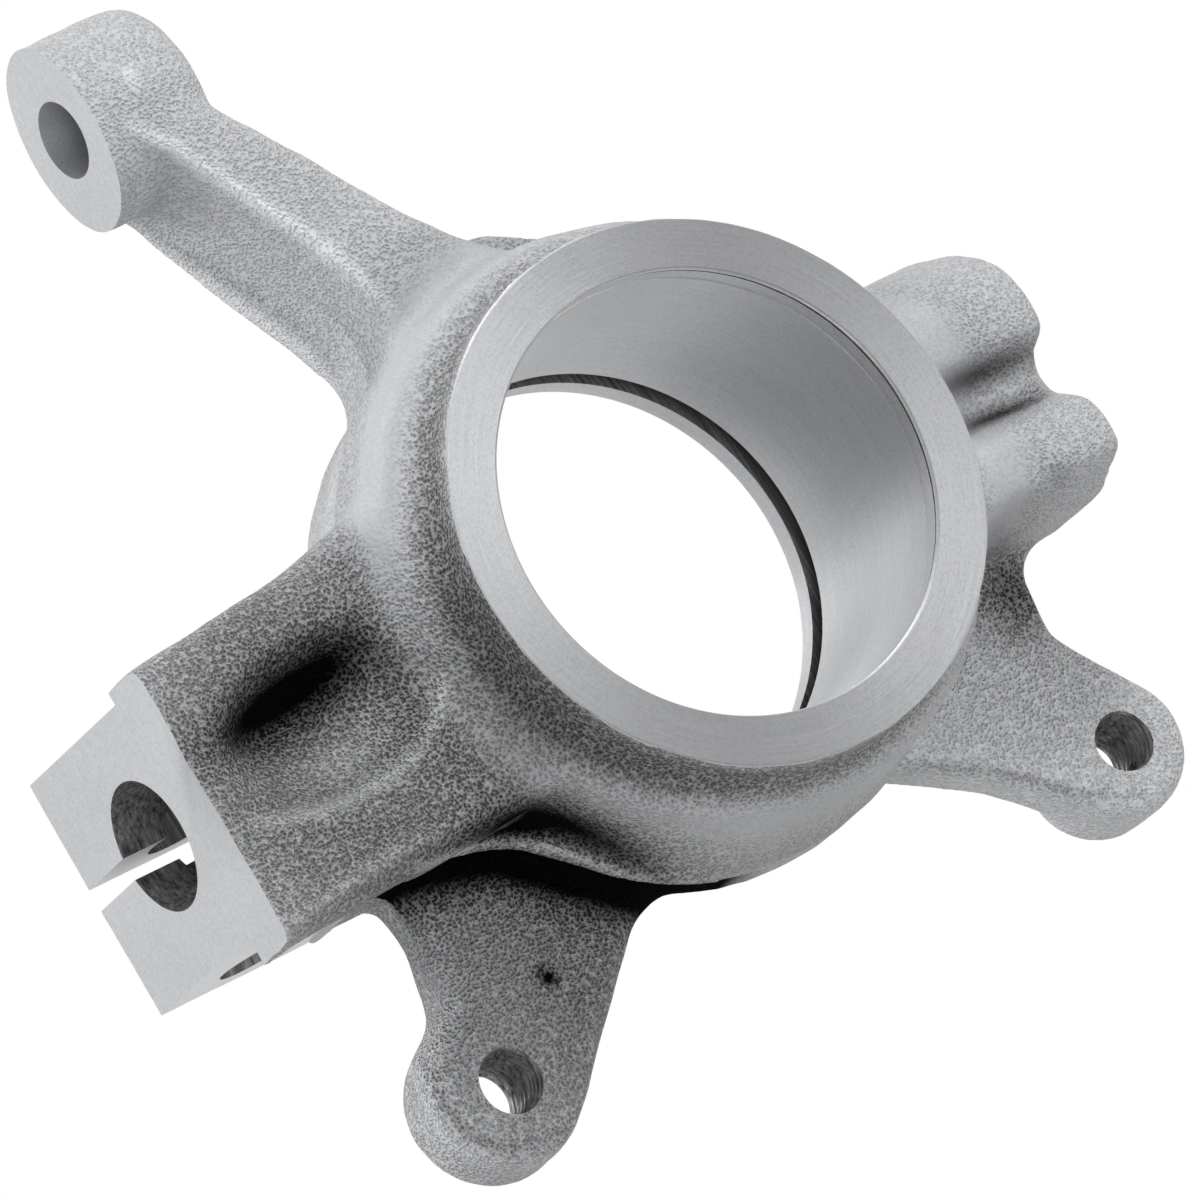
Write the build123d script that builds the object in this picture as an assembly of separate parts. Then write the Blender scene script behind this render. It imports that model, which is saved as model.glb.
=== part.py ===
# Cast iron steering knuckle for a front wheel, one casting machined where other parts fit.
# The frame: origin on the wheel axis, in the near face of the bearing ring.  +Y runs along
# the wheel axis to the far face, +Z up to the upper clamp, +X to the two caliper ears.
# The steering arm points to -X.  All lengths are millimetres and all angles degrees.
# Places given as (angle, reach) lie at that angle round the wheel axis, from +X towards +Z,
# and that far outside the barrel.
import os
from math import cos, hypot, radians, sin, tan

from build123d import *

# Bearing hub: a turned ring in front of a cast barrel that is widest at the mould's parting line
BORE_RADIUS = 36.0
HUB_LENGTH = 54.0
BARREL_RADIUS = 49.2
BARREL_DRAFT = 7.0
RING_RADIUS = BARREL_RADIUS - 4.9
RING_LENGTH = 8.0
RING_EDGE = 0.6
COLLAR_RADIUS = BARREL_RADIUS - 0.9
COLLAR_ROUNDING = 2.5
COLLAR_STEP = 0.5
PARTING_Y = 30.0
LEAD_IN = 0.4
GROOVE_WIDTH = 4.0
GROOVE_DEPTH = 3.0
LIP_WIDTH = 4.0

# Swellings of the hub: a cheek towards the lower clamp, a ledge towards the low ear
CHEEK_SHIFT = 3.0
CHEEK_TURN = -104.5
CHEEK_Y = 9.5
LEDGE_SHIFT = 3.2
LEDGE_TURN = -51.5
LEDGE_Y = 27.0

# Lower clamp, which holds the pin of the ball joint
PIN_X = 6.7
PIN_Y = 30.0
PIN_RADIUS = 10.7
CLAMP_FOOT_Z = -98.5
CLAMP_ROOT_Z = -31.0
CLAMP_NEAR = 23.3
CLAMP_FAR = 25.1
CLAMP_FRONT_SIDE = 22.7
CLAMP_EAR_SIDE = 25.5
CLAMP_LEAN = 7.0
CLAMP_SPLAY = 6.5
CLAMP_STRAIGHT = 30.0
CLAMP_FLARE = 15.0
CLAMP_TAPER = 4.5
CLAMP_EDGE = 4.0
CLAMP_SHOULDER = 5.0
CLAMP_BORE_DEPTH = 32.0
SPOT_NEAR = 11.5
SPOT_SIDE = 20.2
SPOT_HEIGHT = 28.0
SPOT_REACH = 20.0

# What both clamps have: a slot, and a pinch bolt's hole that bites into the pin bore
SLOT_WIDTH = 3.7
SLOT_PAST_BORE = 3.0
PINCH_RADIUS = 6.0
PINCH_OVERLAP = 2.3
PINCH_HEIGHT = 13.0

# Oval pocket scooped out of the near face above the lower clamp
POCKET_X = 4.8
POCKET_Z = -72.5
POCKET_LENGTH = 42.0
POCKET_WIDTH = 27.0
POCKET_DEPTH = 7.0

# Eye for the tie rod, with the casting's pip on its near side
EYE_X = -96.8
EYE_Y = 30.0
EYE_FACE_Z = -51.3
EYE_HEIGHT = 22.0
EYE_HALF_LENGTH = 15.6
EYE_HALF_DEPTH = 12.0
EYE_END_RADIUS = 9.5
EYE_HOLE_RADIUS = 6.3
EYE_TAPER = 7.0
EYE_ROUNDING = 7.0
PIP_RADIUS = 4.0
PIP_HEIGHT = 0.9

# Steering arm.  Each cut through it: way from the eye, drop below the eye's height across the
# slope, growth of the half width, growth of the depth to the near and to the far side
ARM_SLOPE = 33.0
ARM_FACE = 10.0
ARM_DRAFT = 9.0
ARM_EDGE = 3.0
ARM_CUTS = [
    (6.6, 2.3, 0.0, 0.0, 0.0),
    (30.7, 1.9, 1.4, 0.0, 0.0),
    (51.6, 2.8, 3.5, 1.0, 2.0),
    (70.2, 3.5, 9.0, 6.0, 5.0),
]

# Heel above the arm's root, and the web between arm and lower clamp, as (angle, reach).  The
# web's outline is the curve seen from outside, its back lies inside the hub
HEEL_OUTLINE = [(189.0, 8.5), (178.2, 6.3), (167.5, 2.5), (155.9, -2.6)]
HEEL_ROUNDING = 2.5
HEEL_DEPTH = 17.0
WEB_OUTLINE = [
    (261.0, 39.9), (253.4, 15.5), (242.9, 1.3), (227.2, -3.6), (212.3, 0.5), (205.1, 19.2)]
WEB_BACK = [(180.0, -29.2), (279.5, 11.6)]
WEB_DEPTH = 24.0

# Plate with the two ears for the brake caliper.  The sides run in to the hub through places
# given as (angle, reach) and meet each round end at two angles seen from the ear's hole
PLATE_NEAR_Y = 36.0
PLATE_THICKNESS = 10.5
PLATE_EDGE = 2.5
EAR_EASE = 4.0
BOSS_EDGE = 1.0
LOW_EAR_X = 62.0
LOW_EAR_Z = -62.3
LOW_EAR_RADIUS = 13.0
LOW_EAR_WALL = 13.0
LOW_EAR_HOLE = 5.3
LOW_EAR_OUT = [(287.3, 17.9), (300.1, 22.5), (306.1, 30.6)]
LOW_EAR_ENDS = (222.5, 41.0)
LOW_EAR_BACK = [(329.7, 6.4), (341.2, -2.7)]
HIGH_EAR_X = 57.2
HIGH_EAR_Z = 60.6
HIGH_EAR_RADIUS = 11.5
HIGH_EAR_WALL = 15.0
HIGH_EAR_HOLE = 4.9
HIGH_EAR_OUT = [(76.0, 25.0), (66.7, 17.8), (58.3, 21.3)]
HIGH_EAR_ENDS = (136.0, 323.0)
HIGH_EAR_BACK = [(36.5, 18.0), (29.5, 3.6), (14.0, -8.0)]

# Upper clamp, narrow and deep.  Its near side is a round lobe and a square one with a valley
# between; both are given as (way along X from the clamp's -X side, depth from the near side)
UPPER_PIN_X = -1.5
UPPER_PIN_Y = 32.0
UPPER_PIN_RADIUS = 9.5
UPPER_TOP_Z = 71.0
UPPER_ROOT_Z = 30.0
UPPER_SIDE = 23.0
UPPER_EAR_SIDE = 25.0
UPPER_NEAR_Y = 9.5
UPPER_FAR_Y = 55.0
UPPER_STEP = 4.0
UPPER_STEP_Y = 38.5
UPPER_EDGE = 1.2
UPPER_ROUND_LOBE = [(0.5, 30.5), (3.2, 15.0), (8.0, 5.0), (13.5, 0.7), (22.5, 0.0)]
UPPER_SQUARE_LOBE = [
    (25.0, 8.0), (30.0, 9.0), (34.0, 0.0), (37.5, -2.0), (44.5, -2.5), (47.0, 7.0), (48.0, 10.0)]
UPPER_BORE_DEPTH = 34.0
UPPER_SLOT_DEPTH = 30.0
UPPER_PINCH_LENGTH = 40.0

# How far pieces run into each other, and how far cutters start outside the metal
OVERLAP = 2.0
CLEARANCE = 1.0


def slab(outline, near_y, far_y):
    """Give a flat outline, drawn in X and Z, its depth along Y."""
    return extrude(Plane.XZ.offset(-near_y) * outline, amount=far_y - near_y, dir=(0, 1, 0))


def toward(angle, distance):
    """Point in X and Z at an angle round the origin and a distance from it."""
    return distance * cos(radians(angle)), distance * sin(radians(angle))


def outside_barrel(places):
    """Points in X and Z for places given as (angle, reach) outside the barrel."""
    return [toward(angle, BARREL_RADIUS + reach) for angle, reach in places]


def ring_section(points):
    """Turn an outline of (radius, y) points round the wheel axis."""
    return revolve(make_face(Polyline(*points, close=True)), Axis.Y)


def hub():
    """Turned ring at the near end, then the cast barrel, drafted both ways from the parting line."""
    far_radius = BARREL_RADIUS - (HUB_LENGTH - PARTING_Y) * tan(radians(BARREL_DRAFT))
    collar_y = RING_LENGTH + COLLAR_STEP
    return ring_section([
        (0, 0), (RING_RADIUS - RING_EDGE, 0), (RING_RADIUS, RING_EDGE),
        (RING_RADIUS, RING_LENGTH), (COLLAR_RADIUS - COLLAR_ROUNDING, collar_y),
        (COLLAR_RADIUS, collar_y + COLLAR_ROUNDING),
        (BARREL_RADIUS, PARTING_Y), (far_radius, HUB_LENGTH), (0, HUB_LENGTH)])


def ledge():
    """Shoulder beside the lower clamp: the barrel swells towards the low ear, then steps back."""
    swollen = Pos(*toward(LEDGE_TURN, LEDGE_SHIFT)) * Circle(BARREL_RADIUS)
    collar = Circle(COLLAR_RADIUS - COLLAR_STEP)
    cone = loft([Plane.XZ.offset(-RING_LENGTH - COLLAR_ROUNDING) * collar,
                 Plane.XZ.offset(-LEDGE_Y) * swollen])
    return cone + slab(swollen, LEDGE_Y, PLATE_NEAR_Y + OVERLAP)


def cheek():
    """Cheek round the ring, a disc set off towards the lower clamp so that it fades out beyond it."""
    disc = Pos(*toward(CHEEK_TURN, CHEEK_SHIFT)) * Circle(COLLAR_RADIUS)
    body = slab(disc, CHEEK_Y, PARTING_Y)
    return chamfer(body.edges().group_by(Axis.Y)[0], COLLAR_ROUNDING / 2)


def clamp_face():
    """The lower clamp's near face, leaning back towards the hub; X and Y in it run as X and Z do."""
    lean = radians(CLAMP_LEAN)
    return Plane(
        origin=(0, PIN_Y - CLAMP_NEAR, CLAMP_FOOT_Z), x_dir=(1, 0, 0), z_dir=(0, -cos(lean), sin(lean)))


def clamp_front():
    """Wide near part of the lower clamp, leaning back towards the hub, its long edges rounded."""
    left = PIN_X - CLAMP_FRONT_SIDE
    right = PIN_X + CLAMP_EAR_SIDE
    top = CLAMP_ROOT_Z - CLAMP_FOOT_Z
    splay = tan(radians(CLAMP_SPLAY))
    foot_left = (left + CLAMP_EDGE * splay, -CLAMP_EDGE)
    bend = (left - CLAMP_STRAIGHT * splay, CLAMP_STRAIGHT)
    top_left = (left - CLAMP_FLARE, top)
    top_right = (right - CLAMP_TAPER, top)
    foot_right = (right, -CLAMP_EDGE)
    outline = make_face([
        Line(foot_left, bend), TangentArc(bend, top_left, tangent=(-splay, 1)),
        Line(top_left, top_right), Line(top_right, foot_right), Line(foot_left, foot_right)])
    lean = clamp_face()
    block = extrude(lean * outline, amount=CLAMP_NEAR - SPOT_NEAR, dir=-lean.z_dir)
    near_face = block.faces().sort_by(lambda f: abs(lean.to_local_coords(f.center()).Z))[0]
    long_edges = near_face.edges().filter_by(lambda e: abs(e.tangent_at(0.5).Z) > 0.5)
    block = fillet(long_edges, CLAMP_EDGE)
    return split(block, bisect_by=Plane.XY.offset(CLAMP_FOOT_Z), keep=Keep.TOP)


def lower_clamp():
    """Block round the ball joint pin, widening upwards into the hub, and the cheek above it."""
    right = PIN_X + SPOT_SIDE
    left = PIN_X - SPOT_SIDE
    shoulder_z = CLAMP_FOOT_Z + SPOT_HEIGHT + 2 * CLAMP_EDGE
    back = slab(make_face(Polyline(
        (left, CLAMP_FOOT_Z), (right, CLAMP_FOOT_Z), (right, CLAMP_ROOT_Z),
        (left - CLAMP_SHOULDER, CLAMP_ROOT_Z), (left - CLAMP_SHOULDER, shoulder_z), close=True)),
        PIN_Y - SPOT_NEAR, PIN_Y + CLAMP_FAR)
    return clamp_front() + back + cheek()


def arm_section(way, drop, growth, near_growth, far_growth):
    """Cut through the arm, a trapezoid with its narrow side to the near face."""
    along_x, along_z = toward(ARM_SLOPE, way)
    across_x, across_z = toward(ARM_SLOPE - 90, drop)
    start_z = EYE_FACE_Z + EYE_HEIGHT / 2
    plane = Plane(
        origin=(EYE_X + along_x + across_x, EYE_Y, start_z + along_z + across_z),
        x_dir=(0, 1, 0), z_dir=(along_x, 0, along_z))
    near = -EYE_HALF_DEPTH - near_growth
    far = EYE_HALF_DEPTH + far_growth
    spread = (far - near) * tan(radians(ARM_DRAFT))
    half = ARM_FACE / 2 + growth
    outline = make_face(Polyline(
        (near, -half), (far, -half - spread), (far, half + spread), (near, half), close=True))
    outline = chamfer(outline.vertices().sort_by(Axis.X)[-2:], ARM_EDGE / 2)
    return plane * fillet(outline.vertices().sort_by(Axis.X)[:2], ARM_EDGE)


def steering_arm():
    """Bar from the tie rod eye to the hub, growing in width and depth on the way."""
    return loft([arm_section(*cut) for cut in ARM_CUTS])


def oval(half_length, half_width, end_radius):
    """Oval of four arcs that run into each other, two at the ends and two along the sides."""
    side_radius = (half_length ** 2 + half_width ** 2 - 2 * half_length * end_radius) / (
        2 * (half_width - end_radius))
    side_centre = side_radius - half_width
    end_centre = half_length - end_radius
    reach = side_radius / hypot(end_centre, side_centre)
    joint_x = end_centre * reach
    joint_y = side_centre * reach - side_centre
    return make_face([
        ThreePointArc((joint_x, joint_y), (0, half_width), (-joint_x, joint_y)),
        ThreePointArc((-joint_x, joint_y), (-half_length, 0), (-joint_x, -joint_y)),
        ThreePointArc((-joint_x, -joint_y), (0, -half_width), (joint_x, -joint_y)),
        ThreePointArc((joint_x, -joint_y), (half_length, 0), (joint_x, joint_y))])


def tie_rod_eye():
    """Oval upright boss with a rounded top at the end of the arm, and the casting's small pip."""
    foot = oval(EYE_HALF_LENGTH, EYE_HALF_DEPTH, EYE_END_RADIUS)
    body = extrude(Pos(EYE_X, EYE_Y, EYE_FACE_Z) * foot, amount=EYE_HEIGHT, dir=(0, 0, 1))
    body = fillet(body.edges().sort_by(Axis.Z)[-1:], EYE_ROUNDING)
    pip_y = EYE_Y - EYE_HALF_DEPTH + PIP_RADIUS - PIP_HEIGHT
    return body + Pos(EYE_X, pip_y, EYE_FACE_Z + EYE_HEIGHT / 2) * Sphere(PIP_RADIUS)


def arm_heel():
    """Thick heel on the upper side of the arm, where it meets the barrel."""
    outline = make_face(Polyline(*outside_barrel(HEEL_OUTLINE), (0, 0), close=True))
    corners = outline.vertices().filter_by(lambda v: hypot(v.X, v.Y) > BARREL_RADIUS)
    far_y = EYE_Y + EYE_HALF_DEPTH
    return slab(fillet(corners, HEEL_ROUNDING), far_y - HEEL_DEPTH, far_y)


def arm_web():
    """Web that rounds out the corner between the arm and the lower clamp."""
    corner = outside_barrel(WEB_OUTLINE)
    curve = Spline(*corner, tangents=[(0, 1), toward(ARM_SLOPE + 180, 1)])
    outline = make_face(curve + Polyline(corner[-1], *outside_barrel(WEB_BACK), corner[0]))
    near = EYE_Y - EYE_HALF_DEPTH
    return slab(outline, near, near + WEB_DEPTH)


def ear_outline(x, z, radius, out, ends, back):
    """One ear: sides that lead out of the hub to a round end, their corners eased."""
    meets = [(x + across, z + up) for across, up in (toward(angle, radius) for angle in ends)]
    sides = outside_barrel(out) + meets + outside_barrel(back)
    outline = make_face(Polyline(*sides, (0, 0), close=True)) + Pos(x, z) * Circle(radius)
    outer = outline.vertices().filter_by(lambda v: hypot(v.X, v.Y) > BARREL_RADIUS)
    return fillet(outer, EAR_EASE)


def ear(x, z, radius, wall, out, ends, back):
    """Flat ear with a rounded near edge and a round boss on its far side."""
    plate = slab(ear_outline(x, z, radius, out, ends, back), PLATE_NEAR_Y, PLATE_NEAR_Y + PLATE_THICKNESS)
    plate = fillet(plate.edges().group_by(Axis.Y)[0], PLATE_EDGE)
    boss = slab(Pos(x, z) * Circle(radius), PLATE_NEAR_Y + PLATE_THICKNESS / 2, PLATE_NEAR_Y + wall)
    return plate + chamfer(boss.edges().group_by(Axis.Y)[-1], BOSS_EDGE)


def caliper_ears():
    """The two set-back ears that carry the brake caliper."""
    low = ear(LOW_EAR_X, LOW_EAR_Z, LOW_EAR_RADIUS, LOW_EAR_WALL,
              LOW_EAR_OUT, LOW_EAR_ENDS, LOW_EAR_BACK)
    high = ear(HIGH_EAR_X, HIGH_EAR_Z, HIGH_EAR_RADIUS, HIGH_EAR_WALL,
               HIGH_EAR_OUT, HIGH_EAR_ENDS, HIGH_EAR_BACK)
    return low + high


def upper_clamp():
    """Narrow clamp on top, its near side a round lobe and a square one with a valley between."""
    left = UPPER_PIN_X - UPPER_SIDE
    right = UPPER_PIN_X + UPPER_EAR_SIDE
    side, shoulder, joint, crown, inner = [(left + x, UPPER_NEAR_Y + y) for x, y in UPPER_ROUND_LOBE]
    square = [(left + x, UPPER_NEAR_Y + y) for x, y in UPPER_SQUARE_LOBE]
    inset = right - UPPER_STEP
    outline = make_face(
        Polyline(inner, *square, (right, UPPER_STEP_Y), (inset, UPPER_STEP_Y + UPPER_EDGE),
                 (inset, UPPER_FAR_Y), (left, UPPER_FAR_Y), side)
        + ThreePointArc(side, shoulder, joint)
        + ThreePointArc(joint, crown, inner))
    crisp = outline.vertices().filter_by(lambda v: v.X > UPPER_PIN_X - UPPER_EDGE)
    outline = fillet(crisp, UPPER_EDGE)
    return extrude(Plane.XY.offset(UPPER_ROOT_Z) * outline, amount=UPPER_TOP_Z - UPPER_ROOT_Z)


def bearing_bore():
    """Straight bore with a lead-in, a ring groove and the lip behind it."""
    groove = HUB_LENGTH - LIP_WIDTH - GROOVE_WIDTH
    deep = BORE_RADIUS + GROOVE_DEPTH
    return ring_section([
        (0, -CLEARANCE), (BORE_RADIUS + LEAD_IN + CLEARANCE, -CLEARANCE), (BORE_RADIUS, LEAD_IN),
        (BORE_RADIUS, groove), (deep, groove), (deep, groove + GROOVE_WIDTH),
        (BORE_RADIUS, groove + GROOVE_WIDTH), (BORE_RADIUS, HUB_LENGTH + CLEARANCE),
        (0, HUB_LENGTH + CLEARANCE)])


def upright_hole(x, y, foot_z, radius, depth):
    """Round hole along Z, starting at foot_z."""
    return Pos(x, y, foot_z) * Cylinder(radius, depth, align=(Align.CENTER, Align.CENTER, Align.MIN))


def clamp_slot(x, y, end_z, length, depth):
    """Slot from the pin's axis through the far side of a clamp, cut from its end face."""
    return Pos(x, y + length / 2, end_z) * Box(SLOT_WIDTH, length, 2 * depth)


def lower_clamp_cuts():
    """Pin bore, slot, milled sides and the pinch bolt's hole across the slot."""
    cuts = upright_hole(
        PIN_X, PIN_Y, CLAMP_FOOT_Z - CLEARANCE, PIN_RADIUS, CLAMP_BORE_DEPTH + CLEARANCE)
    cuts += clamp_slot(PIN_X, PIN_Y, CLAMP_FOOT_Z, CLAMP_FAR + CLEARANCE, CLAMP_BORE_DEPTH + SLOT_PAST_BORE)
    pinch_y = PIN_Y + PIN_RADIUS + PINCH_RADIUS - PINCH_OVERLAP
    across = Rot(0, 90, 0) * Cylinder(PINCH_RADIUS, 2 * (SPOT_SIDE + CLAMP_SHOULDER + CLEARANCE))
    cuts += Pos(PIN_X, pinch_y, CLAMP_FOOT_Z + PINCH_HEIGHT) * across
    cutter = Box(SPOT_REACH, HUB_LENGTH, 2 * SPOT_HEIGHT, align=(Align.CENTER, Align.MIN, Align.CENTER))
    for side in (-1, 1):
        milled_x = PIN_X + side * (SPOT_SIDE + SPOT_REACH / 2)
        cuts += Pos(milled_x, PIN_Y - SPOT_NEAR, CLAMP_FOOT_Z) * cutter
    return cuts


def upper_clamp_cuts():
    """The same kind of clamp turned upside down; its pinch hole is blind, from the -X side."""
    cuts = upright_hole(UPPER_PIN_X, UPPER_PIN_Y, UPPER_TOP_Z - UPPER_BORE_DEPTH,
                        UPPER_PIN_RADIUS, UPPER_BORE_DEPTH + CLEARANCE)
    slot_length = UPPER_FAR_Y - UPPER_PIN_Y + CLEARANCE
    cuts += clamp_slot(UPPER_PIN_X, UPPER_PIN_Y, UPPER_TOP_Z, slot_length, UPPER_SLOT_DEPTH)
    pinch_y = UPPER_PIN_Y + UPPER_PIN_RADIUS + PINCH_RADIUS - PINCH_OVERLAP
    blind = Rot(0, 90, 0) * Cylinder(
        PINCH_RADIUS, UPPER_PINCH_LENGTH + CLEARANCE, align=(Align.CENTER, Align.CENTER, Align.MIN))
    return cuts + Pos(UPPER_PIN_X - UPPER_SIDE - CLEARANCE, pinch_y, UPPER_TOP_Z - PINCH_HEIGHT) * blind


def pocket():
    """Oval hollow in the clamp's near face: an arc turned about the long axis, sunk part of the way."""
    half_length = POCKET_LENGTH / 2
    turn_radius = ((POCKET_WIDTH / 2) ** 2 / POCKET_DEPTH + POCKET_DEPTH) / 2
    stand_off = turn_radius - POCKET_DEPTH
    low, high = (stand_off, -half_length), (stand_off, half_length)
    side = make_face(ThreePointArc(low, (turn_radius, 0), high)
                     + Polyline(high, (0, half_length), (0, -half_length), low))
    return clamp_face() * Pos(POCKET_X, POCKET_Z - CLAMP_FOOT_Z, stand_off) * revolve(side, Axis.Y)


def tie_rod_taper():
    """Tapered hole, wider at the machined face, right through the eye."""
    narrowing = tan(radians(EYE_TAPER / 2))
    top_radius = EYE_HOLE_RADIUS - (EYE_HEIGHT + CLEARANCE) * narrowing
    foot_radius = EYE_HOLE_RADIUS + CLEARANCE * narrowing
    return Pos(EYE_X, EYE_Y, EYE_FACE_Z - CLEARANCE) * Cone(
        foot_radius, top_radius, EYE_HEIGHT + 2 * CLEARANCE,
        align=(Align.CENTER, Align.CENTER, Align.MIN))


def ear_hole(x, z, radius, wall):
    """Round hole along Y, right through an ear."""
    return slab(Pos(x, z) * Circle(radius), PLATE_NEAR_Y - CLEARANCE, PLATE_NEAR_Y + wall + CLEARANCE)


def knuckle():
    """The whole casting, then the cuts that machine it."""
    cast = hub() + lower_clamp() + steering_arm() + tie_rod_eye() + arm_heel() + arm_web()
    cast += caliper_ears() + upper_clamp() + ledge()
    cast -= pocket()
    cast -= bearing_bore()
    cast -= lower_clamp_cuts()
    cast -= upper_clamp_cuts()
    cast -= ear_hole(LOW_EAR_X, LOW_EAR_Z, LOW_EAR_HOLE, LOW_EAR_WALL)
    cast -= ear_hole(HIGH_EAR_X, HIGH_EAR_Z, HIGH_EAR_HOLE, HIGH_EAR_WALL)
    return cast - tie_rod_taper()


os.makedirs("parts", exist_ok=True)
export_step(knuckle(), "parts/steering_knuckle.step")
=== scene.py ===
# %% [markdown]
# # A cast iron steering knuckle
#
# The real part is poured as one rough casting and then machined only where other parts fit: the bearing ring
# and bore, the two clamps, the ears' holes and the tie rod eye.  The picture lives on that contrast, so this
# lesson follows the foundry and the machine shop.  It makes a soft, lumpy blank first, then cuts it with
# crisp tools, and every cut leaves bright metal behind.

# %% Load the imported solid
import math
from typing import NamedTuple

import bpy
import numpy as np
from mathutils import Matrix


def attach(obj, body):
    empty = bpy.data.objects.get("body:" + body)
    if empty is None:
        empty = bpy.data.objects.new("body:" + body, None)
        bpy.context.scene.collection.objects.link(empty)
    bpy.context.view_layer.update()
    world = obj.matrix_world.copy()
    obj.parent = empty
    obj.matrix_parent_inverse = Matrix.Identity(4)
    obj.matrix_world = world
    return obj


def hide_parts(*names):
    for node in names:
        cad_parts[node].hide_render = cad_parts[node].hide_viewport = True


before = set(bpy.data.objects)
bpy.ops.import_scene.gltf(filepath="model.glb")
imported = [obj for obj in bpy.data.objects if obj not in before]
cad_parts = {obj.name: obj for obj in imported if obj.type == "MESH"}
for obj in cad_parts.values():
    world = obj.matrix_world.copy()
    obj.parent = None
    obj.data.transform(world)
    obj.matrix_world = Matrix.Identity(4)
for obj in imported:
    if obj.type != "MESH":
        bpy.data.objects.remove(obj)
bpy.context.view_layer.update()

# %% [markdown]
# ## Working in millimetres
#
# A machinist's sizes are millimetres, and Blender's remesher and cutter like numbers near one better than
# thousandths.  So all shapes are worked out in millimetres and shrunk to metres once, at the very end.
# The frame is the solid's own: the wheel axis is Y, Z goes up to the upper clamp, X goes to the two ears.

# %% Small helpers that turn arrays into meshes
MM = 0.001


def mesh_object(name, points, faces):
    """Put an array of points and a list of faces into a new object of that name."""
    mesh = bpy.data.meshes.new(name)
    mesh.from_pydata(np.asarray(points, float).tolist(), [], faces)
    mesh.validate()
    piece = bpy.data.objects.new(name, mesh)
    bpy.context.scene.collection.objects.link(piece)
    return piece


def read_points(mesh):
    """All the points of a mesh as one array with a row for each point."""
    flat = np.empty(len(mesh.vertices) * 3)
    mesh.vertices.foreach_get("co", flat)
    return flat.reshape(-1, 3)


def write_points(mesh, points):
    """Put an array of points back into the mesh it came from."""
    mesh.vertices.foreach_set("co", points.ravel())
    mesh.update()


def point_normals(mesh):
    """Unit normals at the points of a mesh."""
    flat = np.empty(len(mesh.vertices) * 3)
    mesh.vertices.foreach_get("normal", flat)
    return flat.reshape(-1, 3)


print("helpers ready, one millimetre is", MM, "metres")

# %% [markdown]
# ## Turned, bored and milled tools
#
# Nearly every cut on the real part is made by a spinning tool, so a tool is a profile carried round an axis.
# The profile is a list of (radius, height) pairs, and the grid has one row for each pair and one column for
# each angle.  A milled face is cut by a plain block.

# %% Shapes of the tools
AXES = {
    "x": np.array([[0, 1, 0], [0, 0, 1], [1, 0, 0]], float),
    "y": np.array([[0, 0, 1], [1, 0, 0], [0, 1, 0]], float),
    "z": np.array([[1, 0, 0], [0, 1, 0], [0, 0, 1]], float),
}


def outward(piece):
    """Turn the faces of a closed mesh outwards if its volume, summed from its triangles, is negative."""
    mesh = piece.data
    mesh.calc_loop_triangles()
    corners = np.empty(len(mesh.loop_triangles) * 3, int)
    mesh.loop_triangles.foreach_get("vertices", corners)
    a, b, c = read_points(mesh)[corners.reshape(-1, 3)].transpose(1, 0, 2)
    if np.einsum("ij,ij->i", a, np.cross(b, c)).sum() < 0:
        mesh.flip_normals()
    return piece


def grid_faces(rows, columns, wrap_rows=False):
    """Four-sided faces of a grid whose columns close into a ring, and whose rows may too."""
    last = rows if wrap_rows else rows - 1
    r, c = np.meshgrid(np.arange(last), np.arange(columns), indexing="ij")
    below = r * columns
    above = ((r + 1) % rows) * columns
    right = (c + 1) % columns
    return np.stack([below + c, below + right, above + right, above + c], axis=-1).reshape(-1, 4).tolist()


def end_caps(rows, columns):
    """The two many-sided faces that close the first and the last row of a grid."""
    return [list(range(columns))[::-1], list(range((rows - 1) * columns, rows * columns))]


def spun(name, profile, centre, axis="y", sides=96, ring=False, squeeze=1.0):
    """Carry a profile round an axis: point = centre + radius * circle(angle) + height * axis.

    An open profile is closed by a flat cap at each end; a ring's profile closes on itself.  A squeeze below
    one flattens the circle to an oval along its second direction."""
    radius, height = np.array(profile, float).T
    angle = np.linspace(0, 2 * math.pi, sides, endpoint=False)
    across, along, up = AXES[axis]
    circle = np.cos(angle)[:, None] * across + squeeze * np.sin(angle)[:, None] * along
    points = radius[:, None, None] * circle + height[:, None, None] * up + np.asarray(centre, float)
    faces = grid_faces(len(radius), sides, wrap_rows=ring)
    if not ring:
        faces += end_caps(len(radius), sides)
    return outward(mesh_object(name, points.reshape(-1, 3), faces))


def block(name, low, high):
    """A milled block between two corners: its eight points are every mix of the low and high sizes."""
    corners = np.array([low, high], float)
    pick = np.array([[(i >> bit) & 1 for bit in range(3)] for i in range(8)])
    points = np.take_along_axis(corners, pick, axis=0)
    faces = [(0, 2, 3, 1), (4, 5, 7, 6), (0, 1, 5, 4), (2, 6, 7, 3), (0, 4, 6, 2), (1, 3, 7, 5)]
    return outward(mesh_object(name, points, faces))


print("tools can be spun about", sorted(AXES), "or cut as blocks")

# %% [markdown]
# ## Sizes of the machined places
#
# These are the solid's own sizes, because the cuts must land where the solid has them.  The metal that the
# foundry leaves on a face for the cutter to take off is called stock.

# %% Sizes, in millimetres
BORE_RADIUS = 36.0
HUB_LENGTH = 54.0
RING_RADIUS = 44.3
RING_LENGTH = 8.0
GROOVE_NEAR, GROOVE_FAR, GROOVE_RADIUS = 46.0, 50.0, 39.0

# A pin hole is given by its x, its y and its radius, a pinch hole by its y, its z and its radius
LOWER_PIN = (6.7, 30.0, 10.7)
UPPER_PIN = (-1.5, 32.0, 9.5)
PINCH_LOW = (44.4, -85.5, 6.0)
PINCH_HIGH = (45.2, 58.0, 6.0)
LOWER_BORE_TOP = -66.5
UPPER_BORE_FOOT = 37.0
SLOT_WIDTH = 3.7
UPPER_SLOT_LENGTH = 30.0

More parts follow.
